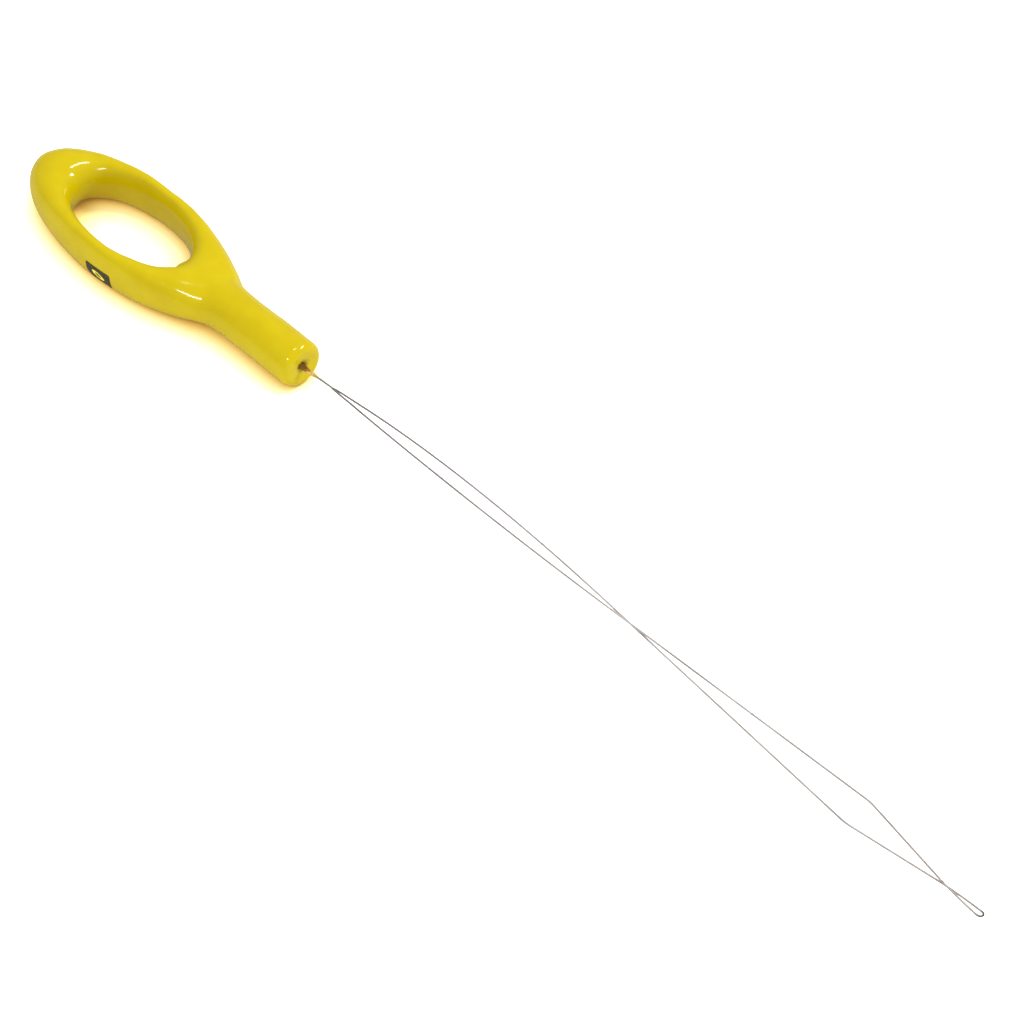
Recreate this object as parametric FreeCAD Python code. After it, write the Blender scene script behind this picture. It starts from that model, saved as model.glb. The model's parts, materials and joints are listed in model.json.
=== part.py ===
"""Wire-loop needle threader: a coated ring handle and one folded steel wire.

Frame: origin on the tool's axis, at the middle of the round neck's straight wall.
+X runs along the wire to its tip, +Z is normal to the flat of the ring, +Y is left.
Units are millimetres. A "station" is a distance along the wire from the neck's end face.
The wire is one piece that bends. It is divided at its bending places into stretches,
with a small clearance between neighbours, so that each stretch can turn as a body.
"""
import FreeCAD, Part
import math
import os

from FreeCAD import Vector

# ---- handle ---------------------------------------------------------------------
NECK_R = 3.0            # outside radius of the round neck, coating included
NECK_LEN = 12.9         # from the flare to the neck's end face
NECK_ROUND = 0.9        # rounding of the neck's end rim
RING_TO_END = 30.7      # ring's centre to the neck's end face
RING_FAR = 17.9         # ring's centre to the handle's far end
RING_NEAR = 20.4        # ring's centre to where its outline would close, inside the neck
RING_HALF_WIDTH = 7.15  # ring's centre to the outside of either side band
RING_HALF_THICK = 3.0
FAR_SHAPE = (2.35, 0.5)     # exponents of the outline, far end
NEAR_SHAPE = (2.0, 0.79)    # exponents of the outline, neck side
HOLE_HALF_LEN = 9.5     # oval finger hole
HOLE_HALF_WIDTH = 4.75
HOLE_SHIFT = -0.7       # hole's centre from the ring's centre
BAND_FULLNESS = 2.1     # superellipse exponent of the ring's cross-section
NOSE_LEN = 5.0          # how far the neck reaches into the ring's body
NOSE_CURVE = 8.0        # radius of the neck's nose in profile
SKIN = 0.4              # thickness of the yellow coating

# ---- socket and adhesive --------------------------------------------------------
SOCKET_R = 0.9          # blind hole for the wire's ends
SOCKET_DEPTH = 10.0
DISH_DEPTH = 0.35       # shallow hollow in the neck's end face
DISH_FULLNESS = 0.72    # share of that depth reached half way to the rim
GLUE_COLLAR_R = 0.75    # glue where it meets the dish
GLUE_WAIST_R = 0.45     # glue where its collar turns into the taper
GLUE_WAIST_AT = 0.35
GLUE_TIP_R = 0.36       # glue where it ends on the wire
GLUE_REACH = 2.0        # station where the glue ends

# ---- wire -----------------------------------------------------------------------
WIRE_R = 0.125          # 0.25 mm spring-tempered wire
ROOT_HALF_GAP = 0.19    # each end's distance to the side of the axis, in the socket
LEG_LIFT = 0.14         # each leg's distance above or below the middle, past the twist
EMBEDDED = 8.5          # length of each end inside the socket
TWIST_END = 4.0         # station where one leg has climbed over the other
SPLIT_AT = 4.6          # station where the legs part
SPAN_HALF_GAP = 0.97    # widest half-gap of the slack rear span
SPAN_SHAPE = (0.8, 1.0)     # exponents of the span's opening and closing ends
CROSS_AT = 55.6         # station where the legs cross
KINK_AT = 89.75         # station of the eye's widest point
KINK_HALF_GAP = 1.91
TIP_JOINT_AT = 100.7    # station where the short legs join the tip's bend
TIP_CROSS_AT = 102.2    # station where the legs cross again
TIP_AT = 108.0          # station of the tip bend's centre line
TIP_HALF_GAP = 0.44
DRIFT = 0.0275          # slope at which the wire leans to the right past the crossing
BOW_FROM = 0.5          # station where the wire starts to bow

# ---- bending places -------------------------------------------------------------
SWING_AT = 3.4
FLEX_AT = (13.5, 30.5, 47.5)
BEND_GAP = 0.12         # clearance between neighbouring stretches

# ---- printed badge --------------------------------------------------------------
BADGE_AT = -29.35       # station of its middle, behind the neck's end face
BADGE_LEN = 4.1
BADGE_LOW = -2.1        # height of its lower and upper edges
BADGE_HIGH = 0.2
BADGE_CORNER = 1.1      # rounding of its lower corner at the far end
BADGE_THICK = 0.05

# ---- worked out from the sizes above --------------------------------------------
END_X = (NECK_LEN - NECK_ROUND) / 2 + NECK_ROUND    # the neck's end face
FLARE_X = END_X - NECK_LEN                          # start of the straight neck
RING_X = END_X - RING_TO_END                        # the ring's centre
ROOM = BEND_GAP / 2

# ---- fineness of the curves -----------------------------------------------------
RING_SECTIONS = 32      # sections round the ring
SECTION_POINTS = 24     # points round each section
PATCHES = 4             # the ring's surface is cut into this many patches each way
ROD_PATCHES = 24        # patches round a curved length of wire
ROOT_STEP = 1.0         # spacing of the wire's curve points near the neck
SPAN_STEP = 1.5         # the same along the span
LOOP_STEPS = 8          # curve points of each leg within the tip's loop, closer near the bend
BEND_STEPS = 8          # steps round the tip's bend


# ---- helpers --------------------------------------------------------------------
def smooth(t):
    """0 below 0, 1 above 1 and an S-curve between."""
    t = min(max(t, 0.0), 1.0)
    return t * t * (3 - 2 * t)


def signed_power(value, power):
    return math.copysign(abs(value) ** power, value)


def superellipse(centre, across, up, half_width, half_height, fullness):
    """Points round a superellipse spanned by the unit vectors across and up."""
    points = []
    for k in range(SECTION_POINTS):
        angle = 2 * math.pi * (k + 0.5) / SECTION_POINTS
        a = half_width * signed_power(math.cos(angle), 2 / fullness)
        b = half_height * signed_power(math.sin(angle), 2 / fullness)
        points.append(centre + across * a + up * b)
    return points


def smooth_curve(points, closed, knots):
    """A smooth curve through the points, with one knot at each of them."""
    curve = Part.BSplineCurve()
    curve.interpolate(Points=list(points), PeriodicFlag=closed, Parameters=knots)
    return curve


def surface_through(sections, closed, knots):
    """A smooth surface through closed sections, joined into a ring when closed is set."""
    turns = [float(k) for k in range(SECTION_POINTS + 1)]
    rounds = [smooth_curve(section, True, turns) for section in sections]
    rows = zip(*[curve.getPoles() for curve in rounds])
    lengthwise = [smooth_curve(row, closed, knots) for row in rows]
    poles = [list(column) for column in zip(*[curve.getPoles() for curve in lengthwise])]
    u, v = lengthwise[0], rounds[0]
    surface = Part.BSplineSurface()
    surface.buildFromPolesMultsKnots(poles, u.getMultiplicities(), v.getMultiplicities(),
                                     u.getKnots(), v.getKnots(), closed, True, 3, 3)
    surface.setVNotPeriodic()
    if closed:
        surface.setUNotPeriodic()
    return surface


def sewn_solid(faces):
    shell = Part.Shell(faces)
    shell.sewShape()
    solid = Part.Solid(shell)
    if solid.Volume < 0:
        solid.reverse()
    return solid


def torus_like_solid(sections):
    """A solid with one smooth surface through a closed ring of closed sections."""
    knots = [float(k) for k in range(len(sections) + 1)]
    surface = surface_through(sections, True, knots)
    u_step, v_step = len(sections) / PATCHES, SECTION_POINTS / PATCHES
    faces = []
    for i in range(PATCHES):
        for j in range(PATCHES):
            patch = surface.toShape(i * u_step, (i + 1) * u_step, j * v_step, (j + 1) * v_step)
            faces.append(patch)
    return sewn_solid(faces)


def rod_along(points):
    """Round wire along a smooth curve through the points."""
    sections = []
    knots = [0.0]
    for k, point in enumerate(points):
        before, after = points[max(k - 1, 0)], points[min(k + 1, len(points) - 1)]
        along = (after - before).normalize()
        side = along.cross(Vector(0, 0, 1)).normalize()
        sections.append(superellipse(point, side, side.cross(along), WIRE_R, WIRE_R, 2))
        if k > 0:
            knots.append(knots[-1] + (point - points[k - 1]).Length)
    surface = surface_through(sections, False, knots)
    first, last = knots[0], knots[-1]
    step = SECTION_POINTS / ROD_PATCHES
    turns = [(k * step, (k + 1) * step) for k in range(ROD_PATCHES)]
    faces = [surface.toShape(first, last, a, b) for a, b in turns]
    for end in (first, last):
        rim = surface.uIso(end)
        faces.append(Part.Face(Part.Wire([rim.toShape(a, b) for a, b in turns])))
    return sewn_solid(faces)


def revolved(outline):
    """A solid of revolution about the X axis from (x, radius) edges and their ends."""
    face = Part.Face(Part.Wire(outline))
    return face.revolve(Vector(0, 0, 0), Vector(1, 0, 0), 360)


def line(a, b):
    return Part.LineSegment(Vector(a[0], a[1], 0), Vector(b[0], b[1], 0)).toShape()


def arc(a, middle, b):
    ends = [Vector(p[0], p[1], 0) for p in (a, middle, b)]
    return Part.Arc(*ends).toShape()


def save(name, shapes):
    shape = shapes[0] if len(shapes) == 1 else Part.makeCompound(shapes)
    shape.exportStep("parts/" + name + ".step")


# ---- handle ---------------------------------------------------------------------
def ring_outline(turn):
    """A point of the ring's plan outline; turn is 0 towards the neck."""
    c = math.cos(turn)
    reach, shape = (RING_NEAR, NEAR_SHAPE) if c > 0 else (RING_FAR, FAR_SHAPE)
    width = RING_HALF_WIDTH * max(1 - abs(c) ** shape[0], 0.0) ** shape[1]
    return Vector(RING_X + reach * c, math.copysign(width, math.sin(turn)), 0)


def hole_outline(turn):
    x = RING_X + HOLE_SHIFT + HOLE_HALF_LEN * math.cos(turn)
    return Vector(x, HOLE_HALF_WIDTH * math.sin(turn), 0)


def ring_body(inset):
    """The ring as one smooth surface through upright superellipses round the hole."""
    sections = []
    for k in range(RING_SECTIONS):
        turn = 2 * math.pi * (k + 0.5) / RING_SECTIONS
        outer, inner = ring_outline(turn), hole_outline(turn)
        across = outer - inner
        half_width = across.Length / 2 - inset
        across.normalize()
        section = superellipse((outer + inner) / 2, across, Vector(0, 0, 1),
                               half_width, RING_HALF_THICK - inset, BAND_FULLNESS)
        sections.append(section)
    return torus_like_solid(sections)


def neck_body(inset):
    """The straight neck: a nose buried in the ring, a rounded rim, a dished end face."""
    radius = NECK_R - inset
    end = END_X - inset
    corner = NECK_ROUND * math.cos(math.pi / 4)
    nose = [(FLARE_X - back, radius - NOSE_CURVE + math.sqrt(NOSE_CURVE ** 2 - back ** 2))
            for back in (NOSE_LEN, NOSE_LEN / 2, 0)]
    rim_start = (end - NECK_ROUND, radius)
    rim_mid = (end - NECK_ROUND + corner, radius - NECK_ROUND + corner)
    rim_end = (end, radius - NECK_ROUND)
    floor = (end - DISH_DEPTH, 0)
    dish_mid = (end - DISH_DEPTH * DISH_FULLNESS, rim_end[1] / 2)
    outline = [
        line((nose[0][0], 0), nose[0]),
        arc(*nose),
        line(nose[2], rim_start),
        arc(rim_start, rim_mid, rim_end),
        arc(rim_end, dish_mid, floor),
        line(floor, (nose[0][0], 0)),
    ]
    return revolved(outline)


def handle_body(inset):
    """The whole handle, drawn in from its outer surface by inset."""
    return ring_body(inset).fuse(neck_body(inset))


def socket(length):
    start = Vector(END_X - SOCKET_DEPTH, 0, 0)
    return Part.makeCylinder(SOCKET_R, length, start, Vector(1, 0, 0))


def badge_stamp():
    """The badge's outline, with its one round corner, pushed into the near band."""
    x = END_X + BADGE_AT
    rear, front = x - BADGE_LEN / 2, x + BADGE_LEN / 2
    inner = BADGE_CORNER * (1 - math.cos(math.pi / 4))
    rounding = [(rear, BADGE_LOW + BADGE_CORNER), (rear + inner, BADGE_LOW + inner),
                (rear + BADGE_CORNER, BADGE_LOW)]
    corners = [rounding[2], (front, BADGE_LOW), (front, BADGE_HIGH), (rear, BADGE_HIGH),
               rounding[0]]
    outline = [line(a, b) for a, b in zip(corners, corners[1:])]
    outline.append(arc(*rounding))
    face = Part.Face(Part.Wire(outline))
    face.rotate(Vector(0, 0, 0), Vector(1, 0, 0), 90)
    face.translate(Vector(0, -RING_HALF_WIDTH - 1, 0))
    return face.extrude(Vector(0, RING_HALF_WIDTH - HOLE_HALF_WIDTH, 0))


# ---- wire -----------------------------------------------------------------------
def middle(station):
    """Sideways place of the wire's middle: bowed left to the crossing, then straight."""
    line_height = DRIFT * (CROSS_AT - station)
    if station >= CROSS_AT:
        return line_height
    t = max(station - BOW_FROM, 0) / (CROSS_AT - BOW_FROM)
    return line_height * (1 - (1 - t) ** 2)


def sideways(station):
    """Unit vector across the wire's middle line, in the plane of the eye."""
    step = 0.01
    slope = (middle(station + step) - middle(station - step)) / (2 * step)
    return Vector(-slope, 1, 0).normalize()


def span_gap(station):
    """Half-gap of the slack rear span."""
    opening, closing = SPAN_SHAPE
    peak = opening / (opening + closing)
    t = (station - SPLIT_AT) / (CROSS_AT - SPLIT_AT)
    if t <= 0:
        return 0.0
    return SPAN_HALF_GAP * (t / peak) ** opening * ((1 - t) / (1 - peak)) ** closing


def lateral(station):
    """Leg A's distance to the left of the wire's middle, once it is on top."""
    if station <= CROSS_AT:
        return -span_gap(station)
    if station <= KINK_AT:
        return KINK_HALF_GAP * (station - CROSS_AT) / (KINK_AT - CROSS_AT)
    if station <= TIP_CROSS_AT:
        return KINK_HALF_GAP * (TIP_CROSS_AT - station) / (TIP_CROSS_AT - KINK_AT)
    t = (station - TIP_CROSS_AT) / (TIP_AT - TIP_HALF_GAP - TIP_CROSS_AT)
    return -TIP_HALF_GAP * t * (3 - t) / 2


def leg_point(station, leg):
    """A point on a leg's centre line; leg is +1 for leg A and -1 for leg B."""
    turn = math.pi / 2 * smooth((station - GLUE_REACH) / (TWIST_END - GLUE_REACH))
    aside = ROOT_HALF_GAP * math.cos(turn) + lateral(station)
    height = LEG_LIFT * math.sin(turn)
    point = Vector(END_X + station, middle(station), leg * height)
    return point + sideways(station) * (leg * aside)


def curved_leg(start, end, leg, step):
    """One leg between two stations, along its curve."""
    count = max(int(math.ceil((end - start) / step)), 3)
    stations = [start + (end - start) * k / count for k in range(count + 1)]
    return rod_along([leg_point(s, leg) for s in stations])


def straight_leg(start, end, leg):
    """One leg between two stations, as a straight rod."""
    a, b = leg_point(start, leg), leg_point(end, leg)
    along = b - a
    length = along.Length
    along.normalize()
    return Part.makeCylinder(WIRE_R, length - BEND_GAP, a + along * ROOM, along)


def both_legs(start, end, step):
    return [curved_leg(start, end, leg, step) for leg in (1, -1)]


def tip_loop():
    """The last crossing and the round bend at the tip, as one length of wire."""
    bend_at = TIP_AT - TIP_HALF_GAP
    first = TIP_JOINT_AT + ROOM
    stations = [bend_at - (bend_at - first) * (1 - k / LOOP_STEPS) ** 2
                for k in range(LOOP_STEPS)]
    outward = [leg_point(s, 1) for s in stations]
    back = [leg_point(s, -1) for s in reversed(stations)]
    bend = []
    for k in range(BEND_STEPS + 1):
        angle = math.pi * k / BEND_STEPS
        point = Vector(END_X + bend_at + TIP_HALF_GAP * math.sin(angle), middle(bend_at), 0)
        point += sideways(bend_at) * (-TIP_HALF_GAP * math.cos(angle))
        bend.append(point + Vector(0, 0, LEG_LIFT * math.cos(angle)))
    return rod_along(outward + bend + back)


def glue(strands):
    """Glue in the socket and its taper along the wire, with the wire's ends cut out."""
    bottom = END_X - SOCKET_DEPTH
    mouth = END_X - DISH_DEPTH - SKIN
    tip = END_X + GLUE_REACH
    collar = (END_X - DISH_DEPTH, GLUE_COLLAR_R)
    waist = (END_X + GLUE_WAIST_AT, GLUE_WAIST_R)
    outline = [
        line((bottom, 0), (bottom, SOCKET_R)),
        line((bottom, SOCKET_R), (mouth, SOCKET_R)),
        line((mouth, SOCKET_R), collar),
        line(collar, waist),
        line(waist, (tip, GLUE_TIP_R)),
        line((tip, GLUE_TIP_R), (tip, 0)),
        line((tip, 0), (bottom, 0)),
    ]
    return revolved(outline).cut(strands)


# ---- the sub-parts --------------------------------------------------------------
def make_handle():
    outer = handle_body(0)
    core = handle_body(SKIN)
    drilled = socket(SOCKET_DEPTH + 1)
    save("handle_core", [core.cut(drilled)])
    save("handle_coating", [outer.cut([core, drilled])])
    proud = ring_body(-BADGE_THICK)
    save("badge", [badge_stamp().common(proud).cut(outer)])


def make_glue_and_ends():
    ends = both_legs(-EMBEDDED, SWING_AT - ROOM, ROOT_STEP)
    save("wire_ends", ends)
    save("adhesive_plug", [glue(ends)])


def make_wire():
    save("wire_root", both_legs(SWING_AT + ROOM, FLEX_AT[0] - ROOM, ROOT_STEP))
    save("wire_span_rear", both_legs(FLEX_AT[0] + ROOM, FLEX_AT[1] - ROOM, SPAN_STEP))
    save("wire_span_front", both_legs(FLEX_AT[1] + ROOM, FLEX_AT[2] - ROOM, SPAN_STEP))
    save("wire_crossing", both_legs(FLEX_AT[2] + ROOM, CROSS_AT - ROOM, SPAN_STEP))
    for name, leg in (("a", 1), ("b", -1)):
        save("eye_leg_" + name + "_long", [straight_leg(CROSS_AT, KINK_AT, leg)])
        save("eye_leg_" + name + "_short", [straight_leg(KINK_AT, TIP_JOINT_AT, leg)])
    save("tip_bend", [tip_loop()])


os.makedirs("parts", exist_ok=True)
make_handle()
make_glue_and_ends()
make_wire()
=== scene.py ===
"""Looks of a wire-loop needle threader: dipped yellow ring handle and one folded steel wire.

All lengths are metres in the CAD frame: +X to the wire's tip, +Z off the flat of the ring.
The yellow skin is one smooth implicit surface, and the wire is an unbroken round tube
that is divided only where one CAD body hands over to the next.
"""
import json
import math

import bpy
import numpy as np
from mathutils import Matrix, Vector


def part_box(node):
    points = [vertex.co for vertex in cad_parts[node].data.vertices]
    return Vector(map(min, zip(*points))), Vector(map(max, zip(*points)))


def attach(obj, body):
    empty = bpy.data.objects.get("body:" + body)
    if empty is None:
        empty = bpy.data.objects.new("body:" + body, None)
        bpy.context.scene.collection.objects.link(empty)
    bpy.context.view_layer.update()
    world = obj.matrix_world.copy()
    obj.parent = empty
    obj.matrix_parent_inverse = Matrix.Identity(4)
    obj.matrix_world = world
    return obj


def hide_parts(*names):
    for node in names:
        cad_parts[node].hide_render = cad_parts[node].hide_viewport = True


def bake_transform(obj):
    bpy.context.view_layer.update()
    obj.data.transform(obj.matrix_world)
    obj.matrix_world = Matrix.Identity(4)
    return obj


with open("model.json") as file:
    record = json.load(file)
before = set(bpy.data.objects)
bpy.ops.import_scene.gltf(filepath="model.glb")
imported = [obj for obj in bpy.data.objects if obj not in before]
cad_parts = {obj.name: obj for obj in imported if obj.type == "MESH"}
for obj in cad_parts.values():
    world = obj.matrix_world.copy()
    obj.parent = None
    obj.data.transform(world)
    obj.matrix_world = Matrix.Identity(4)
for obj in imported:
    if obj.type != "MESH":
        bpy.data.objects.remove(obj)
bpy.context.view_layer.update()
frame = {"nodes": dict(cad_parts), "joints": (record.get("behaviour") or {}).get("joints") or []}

MM = 0.001
JOINT = {j["name"]: Vector(j["pos_m"]) for j in frame["joints"]}

# ---- sizes taken from the frame --------------------------------------------------
COAT_LOW, COAT_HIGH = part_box("handle_coating")
END_X = COAT_HIGH.x                          # the neck's end face
FAR_X = COAT_LOW.x                           # the handle's far end
TIP_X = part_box("tip_bend")[1].x
RING_HALF_WIDTH = (COAT_HIGH.y - COAT_LOW.y) / 2
BADGE_LOW, BADGE_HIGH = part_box("badge")


def station_of(joint):
    return JOINT[joint].x - END_X


# ---- handle ----------------------------------------------------------------------
RING_TO_END = 30.7 * MM
RING_NEAR = 20.4 * MM
RING_HALF_THICK = 3.0 * MM
FAR_SHAPE = (2.35, 0.5)
NEAR_SHAPE = (2.0, 0.79)
HOLE_HALF_LEN = 9.5 * MM
HOLE_HALF_WIDTH = 4.75 * MM
HOLE_SHIFT = -0.7 * MM
BAND_FULLNESS = 2.1
THIN_BAND = 0.5 * MM          # the band counts as at least this wide, so its field stays finite
OUTLINE_POINTS = (260, 160)   # points on the ring's and the hole's outline
NECK_R = 3.0 * MM
NECK_WAIST = 0.03 * MM        # how much thinner the neck is where it leaves the ring
NECK_START = 9.0 * MM         # from the ring's centre
WAIST_END = 0.45              # share of the neck's length that is waisted
NOSE_SHARE = 0.45             # radius of the neck's buried nose, as a share of the full one
NOSE_END = 0.42               # share of the neck's length at which it is full
RIM_ROUND = 1.0 * MM
FILLET = 0.8 * MM             # softness of the joint between ring and neck
DISH_R = 1.9 * MM
DISH_DEPTH = 0.30 * MM
PIT_R = 0.62 * MM
PIT_DEPTH = 0.75 * MM
PIT_EDGE = 0.15 * MM          # softness of the edge between dish and pit
DISH_EDGE = 0.25 * MM         # softness of the dish's rim
SLOW_WAVE = 0.030 * MM        # height of the coating's long waves
QUICK_WAVE = 0.014 * MM       # height of its short waves
SLOPE_STEP = 0.02 * MM        # step for measuring a field's slope
SKIN_STEP = 0.30 * MM         # grid step of the skin's mesh
RING_X = END_X - RING_TO_END
RING_FAR = RING_X - FAR_X

# ---- wire ------------------------------------------------------------------------
WIRE_R = 0.125 * MM
ROOT_HALF_GAP = 0.19 * MM
LEG_LIFT = 0.14 * MM
EMBEDDED = 8.5 * MM
COLLAR_REACH = 0.9 * MM       # how far the adhesive's mound reaches from the end face
FILM_REACH = (1.8 * MM, 2.8 * MM)   # where the film of adhesive on the strands fades out
TWIST_START = 0.9 * MM
TWIST_END = 2.5 * MM
TWIST_LEAN = 0.086 * MM       # the upper strand's lean to the right while they're together
SPLIT_AT = 4.6 * MM
LEAN_FADE = 4 * MM            # length over which the lean fades out past the split
SPAN_HALF_GAP = 0.97 * MM
SPAN_SHAPE = (0.8, 1.0)
KINK_HALF_GAP = 1.91 * MM
TIP_CROSS_AT = 102.2 * MM
TIP_HALF_GAP = 0.44 * MM
DRIFT = 0.0275                # slope of the wire's lean to the right, past the crossing
BOW_FROM = 0.5 * MM
KINK_SOFTNESS = 0.9 * MM      # half-length of each kink's bend
SWING_REACH = 1.1 * MM        # half-length of the wire's bend at the neck
FRONT_REACH = 4.0 * MM        # half-length of its bend at the front flex hinge
PIVOT_HALF_GAP = 0.035 * MM   # leg B's two centre lines end this far from its pivot near the tip
WIRE_SIDES = 14
CAP_RINGS = 5                 # steps of a rounded end
BEND_POINTS = 16
TUBE_STEP = 0.35 * MM
LEAST_STEPS = 6               # even a short length of wire has this many steps

SWING_AT = station_of("wire_swing")
FLEX_AT = [station_of(n) for n in ("wire_flex", "wire_flex_middle", "wire_flex_front")]
CROSS_AT = station_of("eye_squeeze")
KINK_AT = (station_of("kink_a") + station_of("kink_b")) / 2
TIP_JOINT_AT = station_of("tip_turn")
TIP_AT = TIP_X - END_X - WIRE_R


# ---- small mathematics -----------------------------------------------------------
def smooth(t):
    t = np.clip(t, 0.0, 1.0)
    return t * t * (3 - 2 * t)


def smooth_union(a, b, width):
    h = np.clip(0.5 + 0.5 * (b - a) / width, 0.0, 1.0)
    return b * (1 - h) + a * h - width * h * (1 - h)


def smooth_cut(a, b, width):
    """Solid a with solid b taken out, the edge rounded over width."""
    return -smooth_union(-a, b, width)


# ---- the handle's shape as a field: negative inside ------------------------------
def ring_outline_points(count):
    turn = 2 * np.pi * (np.arange(count) + 0.5) / count
    c = np.cos(turn)
    near = c > 0
    reach = np.where(near, RING_NEAR, RING_FAR)
    inner = np.where(near, NEAR_SHAPE[0], FAR_SHAPE[0])
    outer = np.where(near, NEAR_SHAPE[1], FAR_SHAPE[1])
    width = RING_HALF_WIDTH * np.clip(1 - np.abs(c) ** inner, 0, 1) ** outer
    return np.stack([RING_X + reach * c, np.copysign(width, np.sin(turn))], 1)


def hole_outline_points(count):
    turn = 2 * np.pi * (np.arange(count) + 0.5) / count
    x = RING_X + HOLE_SHIFT + HOLE_HALF_LEN * np.cos(turn)
    return np.stack([x, HOLE_HALF_WIDTH * np.sin(turn)], 1)


def outline_distance(points, outline):
    """Distance from each plan point to a closed outline, chunk by chunk."""
    a = outline
    b = np.roll(outline, -1, axis=0)
    edge = b - a
    length2 = (edge ** 2).sum(1)
    out = np.empty(len(points))
    chunk = 4000        # keeps the table of all distances small
    for start in range(0, len(points), chunk):
        p = points[start:start + chunk, None, :]
        t = np.clip(((p - a) * edge).sum(2) / length2, 0, 1)
        gap = p - (a + t[..., None] * edge)
        out[start:start + chunk] = np.sqrt((gap ** 2).sum(2).min(1))
    return out


RING_OUTLINE = ring_outline_points(OUTLINE_POINTS[0])
HOLE_OUTLINE = hole_outline_points(OUTLINE_POINTS[1])


def inside_ring_outline(x, y):
    t = (x - RING_X) / np.where(x > RING_X, RING_NEAR, RING_FAR)
    inner = np.where(x > RING_X, NEAR_SHAPE[0], FAR_SHAPE[0])
    outer = np.where(x > RING_X, NEAR_SHAPE[1], FAR_SHAPE[1])
    width = RING_HALF_WIDTH * np.clip(1 - np.abs(t) ** inner, 0, 1) ** outer
    return (np.abs(t) < 1) & (np.abs(y) < width)


def inside_hole_outline(x, y):
    u = (x - RING_X - HOLE_SHIFT) / HOLE_HALF_LEN
    return u ** 2 + (y / HOLE_HALF_WIDTH) ** 2 < 1


def ring_field(p):
    """A band of superellipse section between the ring's outline and the hole's."""
    plan = p[:, :2]
    to_outer = outline_distance(plan, RING_OUTLINE)
    to_outer *= np.where(inside_ring_outline(p[:, 0], p[:, 1]), 1, -1)
    to_hole = outline_distance(plan, HOLE_OUTLINE)
    to_hole *= np.where(inside_hole_outline(p[:, 0], p[:, 1]), -1, 1)
    band = np.maximum(to_outer + to_hole, THIN_BAND)
    across = np.abs(to_hole - to_outer) / band
    up = np.abs(p[:, 2]) / RING_HALF_THICK
    size = (across ** BAND_FULLNESS + up ** BAND_FULLNESS) ** (1 / BAND_FULLNESS)
    return (size - 1) * np.minimum(band / 2, RING_HALF_THICK)


def neck_field(p):
    """The round neck with a rounded rim; its nose is buried in the ring."""
    start = RING_X + NECK_START
    along = (p[:, 0] - start) / (END_X - start)
    radius = NECK_R - NECK_WAIST * (1 - smooth((along - WAIST_END) / (1 - WAIST_END)))
    radius = radius * (NOSE_SHARE + (1 - NOSE_SHARE) * smooth(along / NOSE_END))
    r = np.hypot(p[:, 1], p[:, 2])
    qx = np.maximum(p[:, 0] - (END_X - RIM_ROUND), start - p[:, 0])
    qr = r - (radius - RIM_ROUND)
    outside = np.hypot(np.maximum(qx, 0), np.maximum(qr, 0))
    return outside + np.minimum(np.maximum(qx, qr), 0) - RIM_ROUND


def end_hollow_field(p):
    """The shallow dish in the neck's end face and the pit round the wire."""
    r = np.hypot(p[:, 1], p[:, 2])
    dish = np.hypot(r / DISH_R, (p[:, 0] - END_X) / DISH_DEPTH) - 1
    pit = np.hypot(r / PIT_R, (p[:, 0] - END_X) / PIT_DEPTH) - 1
    return smooth_union(dish * DISH_DEPTH, pit * PIT_R, PIT_EDGE)


def dip_waves(p):
    """The slightly uneven thickness of a dipped coating."""
    x, y, z = (p / MM).T
    slow = np.sin(0.61 * x + 0.9 * y + 1.3) * np.sin(0.83 * y - 0.47 * z + 0.4)
    quick = np.sin(1.71 * x - 1.1 * z + 2.1) * np.sin(1.37 * y + 0.6 * x + 0.8)
    return SLOW_WAVE * slow + QUICK_WAVE * quick


def handle_field(p):
    body = smooth_union(ring_field(p), neck_field(p), FILLET)
    body = smooth_cut(body, end_hollow_field(p), DISH_EDGE)
    return body + dip_waves(p)


# ---- meshes from fields ----------------------------------------------------------
def surface_net(values, low, step):
    """Quads round the zero surface of a grid of values (naive surface nets)."""
    inside = values < 0
    shape = tuple(n - 1 for n in values.shape)
    count = np.zeros(shape, int)
    for di in (0, 1):
        for dj in (0, 1):
            for dk in (0, 1):
                count += inside[di:di + shape[0], dj:dj + shape[1], dk:dk + shape[2]]
    mixed = (count > 0) & (count < 8)
    index = np.full(shape, -1)
    index[mixed] = np.arange(mixed.sum())
    cells = np.argwhere(mixed)
    total = np.zeros((len(cells), 3))
    hits = np.zeros(len(cells))
    for axis in range(3):
        unit = np.eye(3, dtype=int)[axis]
        others = [np.eye(3, dtype=int)[k] for k in range(3) if k != axis]
        for a in (0, 1):
            for b in (0, 1):
                start = cells + others[0] * a + others[1] * b
                v0 = values[tuple(start.T)]
                v1 = values[tuple((start + unit).T)]
                cut = (v0 < 0) != (v1 < 0)
                t = np.where(cut, v0 / np.where(cut, v0 - v1, 1), 0)
                total += np.where(cut[:, None], start + unit * t[:, None], 0)
                hits += cut
    points = low + step * total / hits[:, None]
    faces = []
    for axis in range(3):
        unit = np.eye(3, dtype=int)[axis]
        b, c = [np.eye(3, dtype=int)[(axis + k) % 3] for k in (1, 2)]
        edge = np.argwhere(np.diff(inside.astype(np.int8), axis=axis) != 0)
        edge = edge[(edge[:, (axis + 1) % 3] > 0) & (edge[:, (axis + 2) % 3] > 0)]
        ring = [edge - b - c, edge - c, edge, edge - b]
        quads = np.stack([index[tuple(r.T)] for r in ring], 1)
        leaving = inside[tuple(edge.T)]
        quads[~leaving] = quads[~leaving][:, ::-1]
        faces.append(quads)
    return points, np.concatenate(faces)


def gradient(field, p):
    out = np.empty_like(p)
    for axis in range(3):
        d = np.zeros(3)
        d[axis] = SLOPE_STEP
        out[:, axis] = (field(p + d) - field(p - d)) / (2 * SLOPE_STEP)
    return out


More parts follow.
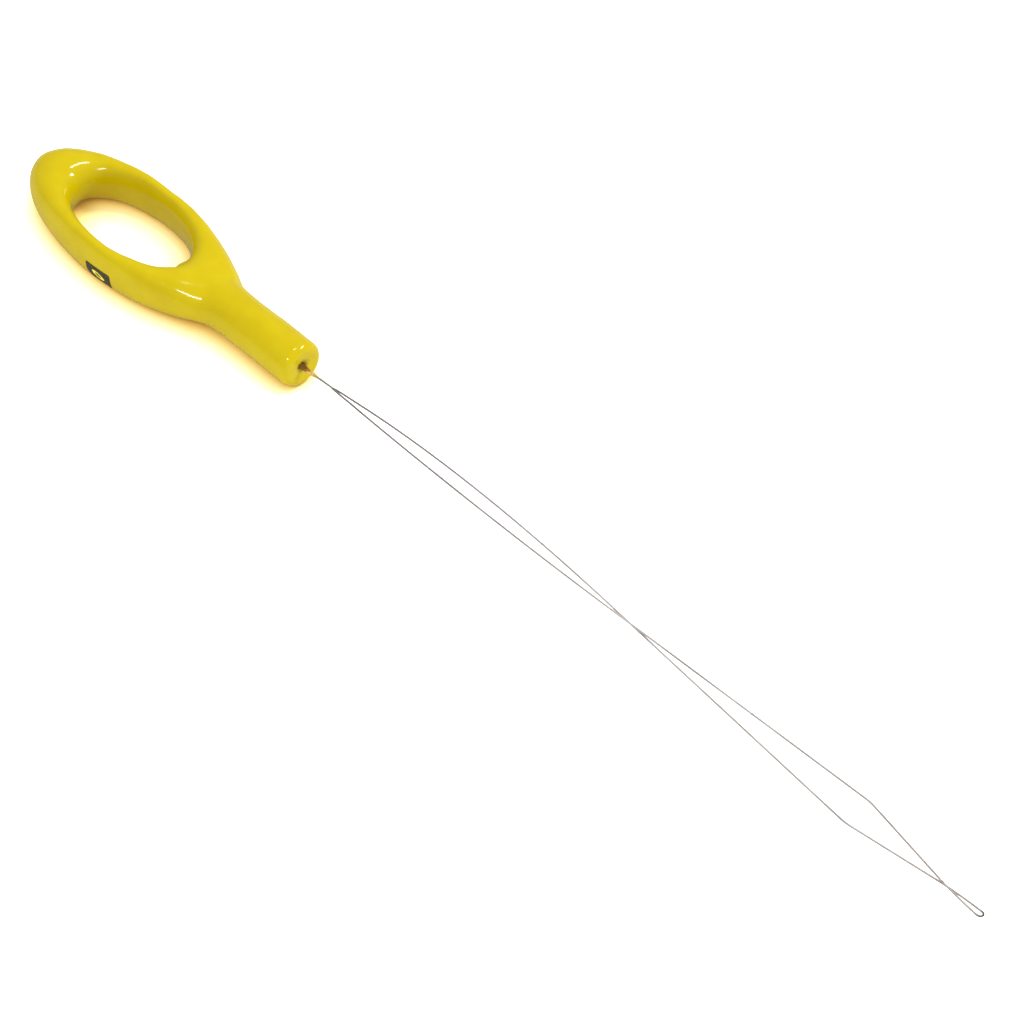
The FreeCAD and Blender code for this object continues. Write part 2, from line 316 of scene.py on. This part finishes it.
def settle(field, p, rounds=3):
    """Moves points onto the field's zero surface, in steps that can't jump away."""
    least_slope, longest = 0.05, 0.3 * MM
    for _ in range(rounds):
        g = gradient(field, p)
        step = field(p) / np.maximum((g ** 2).sum(1), least_slope)
        p = p - g * np.clip(step, -longest, longest)[:, None]
    return p


def relax(p, faces, share):
    """One round of moving each point towards the mean of its neighbours."""
    total = np.zeros_like(p)
    weight = np.zeros(len(p))
    for k in range(4):
        a, b = faces[:, k], faces[:, (k + 1) % 4]
        np.add.at(total, a, p[b])
        np.add.at(total, b, p[a])
        np.add.at(weight, a, 1)
        np.add.at(weight, b, 1)
    return p + share * (total / weight[:, None] - p)


def mesh_object(name, points, faces, material):
    mesh = bpy.data.meshes.new(name)
    mesh.from_pydata([tuple(p) for p in points], [], [tuple(int(i) for i in f) for f in faces])
    mesh.validate()
    mesh.polygons.foreach_set("use_smooth", [True] * len(mesh.polygons))
    mesh.materials.append(material)
    obj = bpy.data.objects.new(name, mesh)
    bpy.context.scene.collection.objects.link(obj)
    return obj


def field_object(name, field, low, high, step, material):
    """A smooth, even mesh of a field's zero surface within a box."""
    counts = [int(math.ceil((b - a) / step)) + 1 for a, b in zip(low, high)]
    axes = [a + step * np.arange(n) for a, n in zip(low, counts)]
    grid = np.stack(np.meshgrid(*axes, indexing="ij"), -1).reshape(-1, 3)
    values = field(grid).reshape(counts)
    points, faces = surface_net(values, np.array(low), step)
    for _ in range(3):
        points = settle(field, relax(points, faces, 0.5), 1)
    points = settle(field, points)
    return mesh_object(name, points, faces, material)


# ---- material helpers ------------------------------------------------------------
class Shader:
    """A small wrapper for building a node material."""

    def __init__(self, name):
        self.material = bpy.data.materials.new(name)
        self.material.use_nodes = True
        self.tree = self.material.node_tree
        self.surface = self.tree.nodes["Principled BSDF"]
        self.place = self.node("ShaderNodeTexCoord").outputs["Object"]

    def node(self, kind, **values):
        made = self.tree.nodes.new(kind)
        for key, value in values.items():
            setattr(made, key, value)
        return made

    def link(self, source, target):
        self.tree.links.new(source, target)

    def set(self, **values):
        for key, value in values.items():
            self.surface.inputs[key.replace("_", " ")].default_value = value

    def scaled(self, scale):
        made = self.node("ShaderNodeMapping")
        made.inputs["Scale"].default_value = scale
        self.link(self.place, made.inputs["Vector"])
        return made.outputs["Vector"]

    def noise(self, scale, detail=3.0, roughness=0.5, stretch=(1, 1, 1)):
        made = self.node("ShaderNodeTexNoise")
        made.inputs["Scale"].default_value = 1.0
        made.inputs["Detail"].default_value = detail
        made.inputs["Roughness"].default_value = roughness
        self.link(self.scaled([scale * s for s in stretch]), made.inputs["Vector"])
        return made.outputs["Fac"]

    def ramp(self, source, stops):
        made = self.node("ShaderNodeValToRGB")
        ramp = made.color_ramp
        while len(ramp.elements) < len(stops):
            ramp.elements.new(0.5)
        for element, (position, colour) in zip(ramp.elements, stops):
            element.position = position
            element.color = (*colour, 1)
        self.link(source, made.inputs["Fac"])
        return made.outputs["Color"]

    def fit(self, source, low, high, to_low, to_high):
        made = self.node("ShaderNodeMapRange")
        numbers = {"From Min": low, "From Max": high, "To Min": to_low, "To Max": to_high}
        for key, value in numbers.items():
            made.inputs[key].default_value = value
        self.link(source, made.inputs["Value"])
        return made.outputs["Result"]

    def mix(self, share, a, b):
        """Colour mix; share, a and b may each be a socket or a value."""
        made = self.node("ShaderNodeMix", data_type="RGBA")
        for socket, value in ((made.inputs[0], share), (made.inputs[6], a), (made.inputs[7], b)):
            if hasattr(value, "links"):
                self.link(value, socket)
            else:
                socket.default_value = (*value, 1) if isinstance(value, tuple) else value
        return made.outputs[2]

    def times(self, a, b):
        made = self.node("ShaderNodeMix", data_type="RGBA", blend_type="MULTIPLY")
        made.inputs[0].default_value = 1.0
        self.link(a, made.inputs[6])
        self.link(b, made.inputs[7])
        return made.outputs[2]

    def bump(self, height, distance, strength=1.0, below=None):
        made = self.node("ShaderNodeBump")
        made.inputs["Distance"].default_value = distance
        made.inputs["Strength"].default_value = strength
        self.link(height, made.inputs["Height"])
        if below is not None:
            self.link(below, made.inputs["Normal"])
        return made.outputs["Normal"]

    def use(self, **sockets):
        for key, socket in sockets.items():
            self.link(socket, self.surface.inputs[key.replace("_", " ")])


# ---- materials -------------------------------------------------------------------
YELLOW = (0.452, 0.355, 0.0012)
YELLOW_DEEP = (0.420, 0.320, 0.0006)
PIT_STAIN_AND_SHADE = (0.150, 0.068, 0.004)     # the adhesive's stain round the pit, with painted shade in the pit and round it


def yellow_coating():
    """Glossy dipped skin, brown round the pit in the end face: partly the adhesive's stain,
    partly painted shade in the pit and round it.
    """
    s = Shader("yellow_coating")
    tone = s.noise(210, 3)
    yellow = s.mix(s.fit(tone, 0.35, 0.65, 0, 1), YELLOW_DEEP, YELLOW)
    from_pit = s.node("ShaderNodeVectorMath", operation="DISTANCE")
    s.link(s.place, from_pit.inputs[0])
    from_pit.inputs[1].default_value = (END_X - 0.1 * MM, 0, 0.1 * MM)
    ragged = s.node("ShaderNodeMath", operation="MULTIPLY_ADD")
    s.link(s.noise(2400, 4, 0.7), ragged.inputs[0])
    ragged.inputs[1].default_value = 1.3 * MM
    s.link(from_pit.outputs["Value"], ragged.inputs[2])
    # brown round the pit: the adhesive's stain together with painted shade of the pit and its
    # dish
    pit_stain_and_shade = s.fit(ragged.outputs[0], 1.05 * MM, 1.75 * MM, 0.85, 0)
    s.use(Base_Color=s.mix(pit_stain_and_shade, yellow, PIT_STAIN_AND_SHADE))
    sheen = s.noise(900, 4, 0.6)
    s.use(Roughness=s.fit(sheen, 0.3, 0.7, 0.09, 0.17))
    ripple = s.bump(s.noise(420, 2), 0.05 * MM, 0.5)
    grain = s.bump(s.noise(5200, 3, 0.6), 0.003 * MM, 0.4, ripple)
    s.use(Normal=grain)
    s.set(IOR=1.40, Coat_Weight=0.15, Coat_Roughness=0.05)
    s.link(ripple, s.surface.inputs["Coat Normal"])
    return s.material


def steel_wire():
    """Drawn steel: amber where adhesive coats it, darker towards the neck, with a painted dark
    reflection on the tip's bend.
    """
    s = Shader("spring_steel_wire")
    split = s.node("ShaderNodeSeparateXYZ")
    s.link(s.place, split.inputs[0])
    film_start, film_end = (END_X + reach for reach in FILM_REACH)
    clean = s.fit(split.outputs["X"], film_start, film_end, 0, 1)
    drawn_steel = s.ramp(s.noise(600, 4, 0.6, (0.25, 1, 1)), [
        (0.30, (0.31, 0.288, 0.288)), (0.70, (0.49, 0.460, 0.460))])
    # tone along the wire: darker towards the neck, and in the last stops a painted dark
    # reflection on the tip's bend
    tone = s.ramp(s.fit(split.outputs["X"], END_X, TIP_X, 0, 1), [
        (0.02, (0.42, 0.41, 0.43)), (0.18, (0.56, 0.55, 0.56)), (0.50, (1, 1, 1)),
        (0.80, (0.85, 0.84, 0.83)), (0.993, (0.80, 0.78, 0.76)), (0.998, (0.22, 0.21, 0.20))])
    film = s.ramp(s.noise(1400, 3), [(0.3, (0.42, 0.22, 0.05)), (0.7, (0.78, 0.50, 0.17))])
    s.use(Base_Color=s.mix(clean, film, s.times(drawn_steel, tone)))
    s.use(Roughness=s.fit(s.noise(2500, 4, 0.6, (0.1, 1, 1)), 0.3, 0.7, 0.22, 0.46))
    drawn = s.bump(s.noise(16000, 3, 0.5, (0.04, 1, 1)), 0.006 * MM, 0.6)
    s.use(Normal=drawn)
    s.set(Metallic=0.35)
    return s.material


def amber_adhesive():
    s = Shader("amber_adhesive")
    s.use(Base_Color=s.ramp(s.noise(1500, 4), [
        (0.30, (0.20, 0.085, 0.012)), (0.70, (0.46, 0.25, 0.05))]))
    s.use(Roughness=s.fit(s.noise(3000, 3), 0.3, 0.7, 0.06, 0.22))
    s.use(Normal=s.bump(s.noise(2600, 3, 0.6), 0.03 * MM, 0.6))
    s.set(Transmission_Weight=0.6, IOR=1.48)
    return s.material


def badge_print():
    s = Shader("badge_print")
    s.use(Base_Color=s.ramp(s.noise(2600, 4), [
        (0.30, (0.020, 0.014, 0.010)), (0.75, (0.050, 0.036, 0.024))]))
    s.use(Roughness=s.fit(s.noise(4000, 3), 0.3, 0.7, 0.30, 0.52))
    s.use(Normal=s.bump(s.noise(9000, 3), 0.006 * MM, 0.5))
    return s.material


def emblem_print():
    s = Shader("emblem_print")
    s.use(Base_Color=s.ramp(s.noise(2600, 4), [
        (0.30, (0.70, 0.62, 0.030)), (0.75, (0.88, 0.82, 0.070))]))
    s.use(Roughness=s.fit(s.noise(4000, 3), 0.3, 0.7, 0.30, 0.50))
    s.use(Normal=s.bump(s.noise(9000, 3), 0.006 * MM, 0.5))
    return s.material


def cast_core():
    s = Shader("core_metal")
    s.use(Base_Color=s.ramp(s.noise(500, 5, 0.6), [
        (0.30, (0.42, 0.42, 0.41)), (0.70, (0.62, 0.62, 0.60))]))
    s.use(Roughness=s.fit(s.noise(1200, 4), 0.3, 0.7, 0.45, 0.70))
    s.use(Normal=s.bump(s.noise(2600, 5, 0.65), 0.05 * MM, 0.7))
    s.set(Metallic=1.0)
    return s.material


SHADE_REACH = 5.5 * MM        # how near the handle must be for the floor's painted shade and bounce tint
FLOOR_GLOW = 0.42             # the floor's own light, which keeps shadows pale
FLOOR_SEEN_IN_GLOSS = 0.30    # how bright the floor looks in a glossy surface
FLOOR_GLOSS_TINT = (1.0, 0.92, 0.55)


def pale_floor():
    """White paper with painted shade and a painted warm bounce tint where the handle occludes it;
    it glows in these colours too.
    """
    s = Shader("pale_floor")
    white = s.ramp(s.noise(25, 2), [
        (0.35, (0.925, 0.923, 0.915)), (0.65, (0.94, 0.938, 0.93))])
    shade = s.node("ShaderNodeAmbientOcclusion", samples=12)
    shade.inputs["Distance"].default_value = SHADE_REACH
    # painted shade and painted yellow bounce light: deep orange at contact, fading to white
    painted_shade_and_bounce = s.ramp(shade.outputs["AO"], [
        (0.10, (0.38, 0.17, 0.004)), (0.34, (0.80, 0.58, 0.16)),
        (0.58, (0.92, 0.83, 0.50)), (0.90, (0.94, 0.938, 0.93))])
    floor_with_painted_shade = s.mix(s.fit(shade.outputs["AO"], 0.90, 1.0, 0, 1), painted_shade_and_bounce, white)
    paths = s.node("ShaderNodeLightPath")
    dim = tuple(v * FLOOR_SEEN_IN_GLOSS for v in FLOOR_GLOSS_TINT)
    seen = s.mix(paths.outputs["Is Glossy Ray"], floor_with_painted_shade, dim)
    # the floor glows in these colours too, painted shade and bounce tint included
    s.use(Base_Color=seen, Emission_Color=seen)
    s.set(Roughness=0.65, Emission_Strength=FLOOR_GLOW)
    return s.material


# ---- handle pieces ---------------------------------------------------------------
BADGE_CORNER = 1.1 * MM       # the rounding of its lower far corner
BADGE_POWER = 16.0            # squareness of its other corners
BADGE_PROUD = 0.045 * MM
BADGE_THICK = 0.09 * MM
EMBLEM_HALF_LEN = 1.05 * MM
EMBLEM_HALF_HEIGHT = 0.42 * MM
EMBLEM_TILT = -0.25
EMBLEM_HOLE = 0.5             # its hole's size as a share of the oval's
EMBLEM_PROUD = BADGE_PROUD + 0.02 * MM
EMBLEM_THICK = 0.04 * MM
GLUE_START = 1.2 * MM         # the adhesive starts this far inside the neck's end face
MOUND_R = 0.42 * MM           # the mound's rise over the web round the strands
MOUND_FALL = 0.80 * MM        # length over which the mound falls away
WEB_HALF_WIDTH = 0.335 * MM
WEB_HALF_HEIGHT = 0.175 * MM
WEB_CLOSES_AT = 0.80          # share of its length from which the web narrows
GLUE_ROUND_AT = 0.93          # share of its length from which its end is rounded


def make_skin(material):
    room = 0.8 * MM
    low = [COAT_LOW.x - room, COAT_LOW.y - room, COAT_LOW.z - room]
    high = [COAT_HIGH.x + room, COAT_HIGH.y + room, COAT_HIGH.z + room]
    skin = field_object("handle_skin", handle_field, low, high, SKIN_STEP, material)
    smoothing = skin.modifiers.new("finer", "SUBSURF")
    smoothing.levels = smoothing.render_levels = 1
    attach(skin, "handle")
    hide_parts("handle_coating")


def on_flank(x, z, proud):
    """Points on the near outer flank of the ring, at the given x and z."""
    outside, longest, rounds = 0.4 * MM, 0.5 * MM, 14
    p = np.stack([x, np.full_like(x, -RING_HALF_WIDTH - outside), z], 1)
    for _ in range(rounds):
        p[:, 1] += np.clip(handle_field(p), -longest, longest)
    g = gradient(handle_field, p)
    return p + g / np.linalg.norm(g, axis=1)[:, None] * proud


def flank_patch(name, outline, rings, proud, thickness, material, inner=0.0):
    """A thin closed patch on the flank, or a ring-shaped one if inner is over 0.

    outline gives (along, up) round the badge's centre.
    """
    along, up = outline
    centre_x = (BADGE_LOW.x + BADGE_HIGH.x) / 2
    centre_z = (BADGE_LOW.z + BADGE_HIGH.z) / 2
    shares = [inner + (1 - inner) * (k + 1) / rings for k in range(rings)]
    if inner:
        shares = [inner] + shares
    n = len(along)
    layers = []
    for lift in (proud, proud - thickness):
        rows = [on_flank(centre_x + s * along, centre_z + s * up, lift) for s in shares]
        layers.append(np.concatenate(rows))
    points = np.concatenate(layers)
    total = n * len(shares)
    faces = []
    for layer in (0, 1):
        base = layer * total
        for r in range(len(shares) - 1):
            for k in range(n):
                j = (k + 1) % n
                a, b = base + r * n, base + (r + 1) * n
                quad = [a + k, b + k, b + j, a + j]
                faces.append(quad if layer == 0 else quad[::-1])
    edges = [(total - n, 1)] + ([(0, -1)] if inner else [])
    for start, side in edges:
        for k in range(n):
            j = (k + 1) % n
            quad = [start + k, total + start + k, total + start + j, start + j]
            faces.append(quad if side > 0 else quad[::-1])
    if not inner:
        faces.append(list(reversed(range(n))))
        faces.append(list(range(total, total + n)))
    return mesh_object(name, points, faces, material)


def badge_outline(half_len, half_height, count=96):
    """A four-sided outline with one round corner, low and at the far end, seen from outside."""
    turn = 2 * np.pi * np.arange(count) / count
    c, s = np.cos(turn), np.sin(turn)
    power = BADGE_POWER
    reach = ((np.abs(c) / half_len) ** power + (np.abs(s) / half_height) ** power) ** (-1 / power)
    along, up = reach * c, reach * s
    corner_x, corner_z = BADGE_CORNER - half_len, BADGE_CORNER - half_height
    beyond = (along < corner_x) & (up < corner_z)
    ray = corner_x * c + corner_z * s
    square = corner_x ** 2 + corner_z ** 2 - BADGE_CORNER ** 2
    rounded = ray + np.sqrt(np.maximum(ray ** 2 - square, 0))
    reach = np.where(beyond, np.minimum(reach, rounded), reach)
    return reach * c, reach * s


def oval_outline(half_len, half_height, tilt, count=36):
    turn = 2 * np.pi * np.arange(count) / count
    a, b = half_len * np.cos(turn), half_height * np.sin(turn)
    return a * math.cos(tilt) - b * math.sin(tilt), a * math.sin(tilt) + b * math.cos(tilt)


def make_badge(print_material, emblem_material):
    half_len = (BADGE_HIGH.x - BADGE_LOW.x) / 2
    half_height = (BADGE_HIGH.z - BADGE_LOW.z) / 2
    patch = flank_patch("badge_patch", badge_outline(half_len, half_height),
                        9, BADGE_PROUD, BADGE_THICK, print_material)
    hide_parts("badge")
    oval = oval_outline(EMBLEM_HALF_LEN, EMBLEM_HALF_HEIGHT, EMBLEM_TILT)
    emblem = flank_patch("badge_emblem", oval, 3, EMBLEM_PROUD, EMBLEM_THICK,
                         emblem_material, EMBLEM_HOLE)
    for piece in (patch, emblem):
        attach(piece, "handle")


def make_adhesive(material):
    """The glue: a small mound in the pit that narrows to a web round the two strands."""
    sides, rings = 32, 34
    start, end = END_X - GLUE_START, END_X + COLLAR_REACH
    points, faces = [], []
    for k in range(rings):
        t = k / (rings - 1)
        x = start + (end - start) * t
        mound = MOUND_R * math.exp(-((x - start) / MOUND_FALL) ** 2)
        close = float(smooth((t - WEB_CLOSES_AT) / (1 - WEB_CLOSES_AT)))
        wide = WEB_HALF_WIDTH - 0.10 * MM * close + mound + 0.012 * MM * math.sin(31 * t)
        high = WEB_HALF_HEIGHT + 0.02 * MM * close + mound + 0.010 * MM * math.sin(23 * t + 1)
        rounding = max((t - GLUE_ROUND_AT) / (1 - GLUE_ROUND_AT), 0.0)
        shrink = math.sqrt(max(1 - rounding ** 2, 0.12))
        for s in range(sides):
            turn = 2 * math.pi * s / sides
            lump = 1 + 0.03 * math.sin(3 * turn + 5 * t) + 0.02 * math.sin(5 * turn - 9 * t)
            points.append((x, wide * shrink * lump * math.cos(turn),
                           high * shrink * lump * math.sin(turn)))
    for k in range(rings - 1):
        for s in range(sides):
            a, b = k * sides + s, k * sides + (s + 1) % sides
            faces.append([a, b, b + sides, a + sides])
    faces.append(list(reversed(range(sides))))
    faces.append(list(range((rings - 1) * sides, rings * sides)))
    glue = mesh_object("adhesive_collar", points, faces, material)
    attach(glue, "handle")
    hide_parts("adhesive_plug")


# ---- the wire's path -------------------------------------------------------------
def middle(station):
    """Sideways place of the wire's middle: bowed left to the crossing, then straight."""
    t = np.clip((station - BOW_FROM) / (CROSS_AT - BOW_FROM), 0, 1)
    return DRIFT * (CROSS_AT - station) * (1 - (1 - t) ** 2)


def lateral(station):
    """Leg A's distance to the left of the wire's middle, once it is on top."""
    opening, closing = SPAN_SHAPE
    peak = opening / (opening + closing)
    t = np.clip((station - SPLIT_AT) / (CROSS_AT - SPLIT_AT), 0, 1)
    span = SPAN_HALF_GAP * (t / peak) ** opening * ((1 - t) / (1 - peak)) ** closing
    out = KINK_HALF_GAP * (station - CROSS_AT) / (KINK_AT - CROSS_AT)
    back = KINK_HALF_GAP * (TIP_CROSS_AT - station) / (TIP_CROSS_AT - KINK_AT)
    soft = KINK_SOFTNESS * KINK_HALF_GAP / (TIP_CROSS_AT - KINK_AT)
    eye = smooth_union(out, back, soft)
    u = np.clip((station - TIP_CROSS_AT) / (TIP_AT - TIP_HALF_GAP - TIP_CROSS_AT), 0, 1)
    tip = -TIP_HALF_GAP * u * (3 - u) / 2
    return np.where(station <= CROSS_AT, -span, np.where(station <= TIP_CROSS_AT, eye, tip))


def leg_points(stations, leg):
    """Points on a leg's centre line; leg is +1 for leg A and -1 for leg B."""
    s = np.asarray(stations, float)
    turn = np.pi / 2 * smooth((s - TWIST_START) / (TWIST_END - TWIST_START))
    lean = TWIST_LEAN * np.sin(turn) * (1 - smooth((s - SPLIT_AT) / LEAN_FADE))
    h = 0.01 * MM
    slope = (middle(s + h) - middle(s - h)) / (2 * h)
    norm = np.hypot(slope, 1)
    aside = leg * (ROOT_HALF_GAP * np.cos(turn) - lean + lateral(s))
    return np.stack([END_X + s - slope / norm * aside, middle(s) + aside / norm,
                     leg * LEG_LIFT * np.sin(turn)], 1)


def bend_points(count):
    """The round bend at the tip, from leg A over to leg B, without its two ends."""
    bend_at = TIP_AT - TIP_HALF_GAP
    turn = np.pi * (np.arange(count) + 1) / (count + 1)
    ahead = TIP_HALF_GAP * np.sin(turn)
    aside = -TIP_HALF_GAP * np.cos(turn)
    norm = math.hypot(1, DRIFT)
    x = END_X + bend_at + ahead + aside * DRIFT / norm
    y = DRIFT * (CROSS_AT - bend_at) - ahead * DRIFT + aside / norm
    return np.stack([x, y, LEG_LIFT * np.cos(turn)], 1)


def tube(points, round_start, round_end):
    """Vertices and faces of a round tube; an end is rounded or cut flat."""
    tangent = np.gradient(points, axis=0)
    tangent /= np.linalg.norm(tangent, axis=1)[:, None]
    side = np.cross(tangent, [0.0, 0.0, 1.0])
    side /= np.linalg.norm(side, axis=1)[:, None]
    up = np.cross(side, tangent)
    rows = [(p, s, u, WIRE_R) for p, s, u in zip(points, side, up)]
    cap = [math.pi / 2 * k / CAP_RINGS for k in range(1, CAP_RINGS)]
    if round_start:
        head = [(points[0] - tangent[0] * WIRE_R * math.sin(a), side[0], up[0],
                 WIRE_R * math.cos(a)) for a in reversed(cap)]
        rows = head + rows
    if round_end:
        rows += [(points[-1] + tangent[-1] * WIRE_R * math.sin(a), side[-1], up[-1],
                  WIRE_R * math.cos(a)) for a in cap]
    turn = 2 * np.pi * np.arange(WIRE_SIDES) / WIRE_SIDES
    rings = [p + r * (np.outer(np.cos(turn), s) + np.outer(np.sin(turn), u))
             for p, s, u, r in rows]
    vertices = np.concatenate(rings)
    faces = []
    for k in range(len(rows) - 1):
        for s in range(WIRE_SIDES):
            a, b = k * WIRE_SIDES + s, k * WIRE_SIDES + (s + 1) % WIRE_SIDES
            faces.append([a, a + WIRE_SIDES, b + WIRE_SIDES, b])
    last = (len(rows) - 1) * WIRE_SIDES
    faces.append(list(range(WIRE_SIDES)))
    faces.append([last + s for s in reversed(range(WIRE_SIDES))])
    return vertices, faces


def wire_object(name, paths, material):
    """One mesh of one or more tubes; each path is (points, round_start, round_end)."""
    vertices, faces = [], []
    for points, round_start, round_end in paths:
        v, f = tube(points, round_start, round_end)
        offset = sum(len(x) for x in vertices)
        faces += [[i + offset for i in face] for face in f]
        vertices.append(v)
    obj = mesh_object(name, np.concatenate(vertices), faces, material)
    return obj


def stretch(start, end, leg):
    """Evenly spaced points on a leg's centre line between two stations."""
    count = max(int(round((end - start) / TUBE_STEP)), LEAST_STEPS)
    return leg_points(np.linspace(start, end, count + 1), leg)


def make_rear_wire(material):
    """Both legs from the socket to the crossing, in pieces cut round the flex hinges."""
    reach = (FLEX_AT[1] - FLEX_AT[0]) / 2
    cuts = [-EMBEDDED, FLEX_AT[0] - reach, FLEX_AT[0] + reach, FLEX_AT[1] + reach,
            FLEX_AT[2] + FRONT_REACH]
    plan = [
        ("wire_at_neck", "handle", "wire_root", SWING_AT, SWING_REACH, ["wire_ends"]),
        ("wire_rear", "wire_root", "wire_span_rear", FLEX_AT[0], reach, ["wire_root"]),
        ("wire_middle", "wire_span_rear", "wire_span_front", FLEX_AT[1], reach,
         ["wire_span_rear"]),
        ("wire_front", "wire_span_front", "wire_crossing", FLEX_AT[2], FRONT_REACH,
         ["wire_span_front", "wire_crossing"]),
    ]
    for k, (name, before, after, pivot, half, nodes) in enumerate(plan):
        paths = [(stretch(cuts[k], cuts[k + 1], leg), k == 0, False) for leg in (1, -1)]
        piece = wire_object(name, paths, material)
        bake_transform(piece)
        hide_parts(*nodes)
    return cuts[-1]


def make_eye(material, start):
    """The legs of the eye, each bending at the crossing, at its kink and near the tip."""
    mid_leg = (CROSS_AT + KINK_AT) / 2
    tip_reach = TIP_CROSS_AT - TIP_JOINT_AT
    for letter, leg in (("a", 1), ("b", -1)):
        long_leg, short_leg = "eye_leg_" + letter + "_long", "eye_leg_" + letter + "_short"
        rear = wire_object("eye_rear_" + letter, [(stretch(start, mid_leg, leg), False, False)],
                           material)
        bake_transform(rear)
        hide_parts(long_leg)
        short_end = TIP_JOINT_AT - (tip_reach if leg > 0 else PIVOT_HALF_GAP)
        kink = wire_object("eye_kink_" + letter,
                           [(stretch(mid_leg, short_end, leg), False, leg < 0)], material)
        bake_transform(kink)
        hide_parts(short_leg)
    root = wire_object("eye_tip_root", [(stretch(TIP_JOINT_AT - tip_reach, TIP_CROSS_AT, 1),
                                         False, False)], material)
    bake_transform(root)
    bend_at = TIP_AT - TIP_HALF_GAP
    loop = np.concatenate([stretch(TIP_CROSS_AT, bend_at, 1), bend_points(BEND_POINTS),
                           stretch(TIP_JOINT_AT + PIVOT_HALF_GAP, bend_at, -1)[::-1]])
    tip = wire_object("tip_loop", [(loop, False, True)], material)
    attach(tip, "tip_bend")
    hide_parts("tip_bend")


# ---- stage -----------------------------------------------------------------------
CAMERA_TURN = math.radians(46.3)      # the tool's axis, turned away from the picture plane
CAMERA_RISE = math.radians(48.4)
CAMERA_AWAY = 0.455
SENSOR_WIDTH = 36                     # millimetres
FOCAL = 140.6                         # millimetres
AIM_AHEAD = 0.0333                    # aim point, from the neck's end face towards the tip
AIM_ASIDE = 0.0020


def make_camera():
    away = Vector((-math.sin(CAMERA_TURN), math.cos(CAMERA_TURN), 0))
    back = -away * math.cos(CAMERA_RISE) + Vector((0, 0, 1)) * math.sin(CAMERA_RISE)
    aim = Vector((END_X + AIM_AHEAD, AIM_ASIDE, 0))
    data = bpy.data.cameras.new("camera")
    data.sensor_width = SENSOR_WIDTH
    data.lens = FOCAL
    camera = bpy.data.objects.new("camera", data)
    camera.location = aim + back * CAMERA_AWAY
    camera.rotation_euler = back.to_track_quat("Z", "Y").to_euler()
    bpy.context.scene.collection.objects.link(camera)
    bpy.context.scene.camera = camera


FLOOR_GAP = 0.05 * MM         # between the CAD's underside and the floor
FLOOR_HALF = 1.5
LIGHTS_CENTRE = (0.03, 0, 0)
LIGHTS = [                    # name, direction, distance, size, watts, colour
    ("key", (0.35, 0.75, 1.0), 0.9, (0.24, 0.14), 5.8, (1, 0.985, 0.95)),
    ("overhead", (-0.25, 0.15, 1.0), 0.8, (0.12, 0.07), 1.0, (1, 1, 1)),
    ("front_fill", (0.15, -0.80, 0.95), 1.1, (0.40, 0.07), 3.3, (1, 1, 1)),
]
WORLD_LIGHT = 0.98            # the white room's light
WORLD_COLOUR = (1.0, 0.995, 0.985, 1)
WORLD_SEEN_IN_GLOSS = 0.22    # how bright that room looks in a glossy surface


def make_light(name, direction, distance, size, power, colour):
    data = bpy.data.lights.new(name, "AREA")
    data.shape = "RECTANGLE"
    data.size, data.size_y = size
    data.energy = power
    data.color = colour
    light = bpy.data.objects.new(name, data)
    towards = Vector(direction).normalized()
    light.location = Vector(LIGHTS_CENTRE) + towards * distance
    light.rotation_euler = towards.to_track_quat("Z", "Y").to_euler()
    bpy.context.scene.collection.objects.link(light)


def make_stage():
    ground = COAT_LOW.z - FLOOR_GAP
    signs = [(-1, -1), (1, -1), (1, 1), (-1, 1)]
    corners = [(FLOOR_HALF * a, FLOOR_HALF * b, ground) for a, b in signs]
    floor = mesh_object("floor", corners, [(0, 1, 2, 3)], pale_floor())
    world = bpy.data.worlds.new("studio")
    world.use_nodes = True
    background = world.node_tree.nodes["Background"]
    background.inputs["Color"].default_value = WORLD_COLOUR
    paths = world.node_tree.nodes.new("ShaderNodeLightPath")
    strength = world.node_tree.nodes.new("ShaderNodeMapRange")
    strength.inputs["To Min"].default_value = WORLD_LIGHT
    strength.inputs["To Max"].default_value = WORLD_SEEN_IN_GLOSS
    world.node_tree.links.new(paths.outputs["Is Glossy Ray"], strength.inputs["Value"])
    world.node_tree.links.new(strength.outputs["Result"], background.inputs["Strength"])
    bpy.context.scene.world = world
    bpy.context.scene.view_settings.view_transform = "Standard"
    for light in LIGHTS:
        make_light(*light)


def dress_core(material):
    """Gives the hidden core, which is the CAD's own mesh, its material."""
    core = frame["nodes"]["handle_core"]
    core.data.materials.clear()
    core.data.materials.append(material)


def numbers(box):
    return [[float(v) for v in corner] for corner in box]


wire_material = steel_wire()
dress_core(cast_core())
make_skin(yellow_coating())
make_badge(badge_print(), emblem_print())
make_adhesive(amber_adhesive())
make_eye(wire_material, make_rear_wire(wire_material))
make_stage()
make_camera()
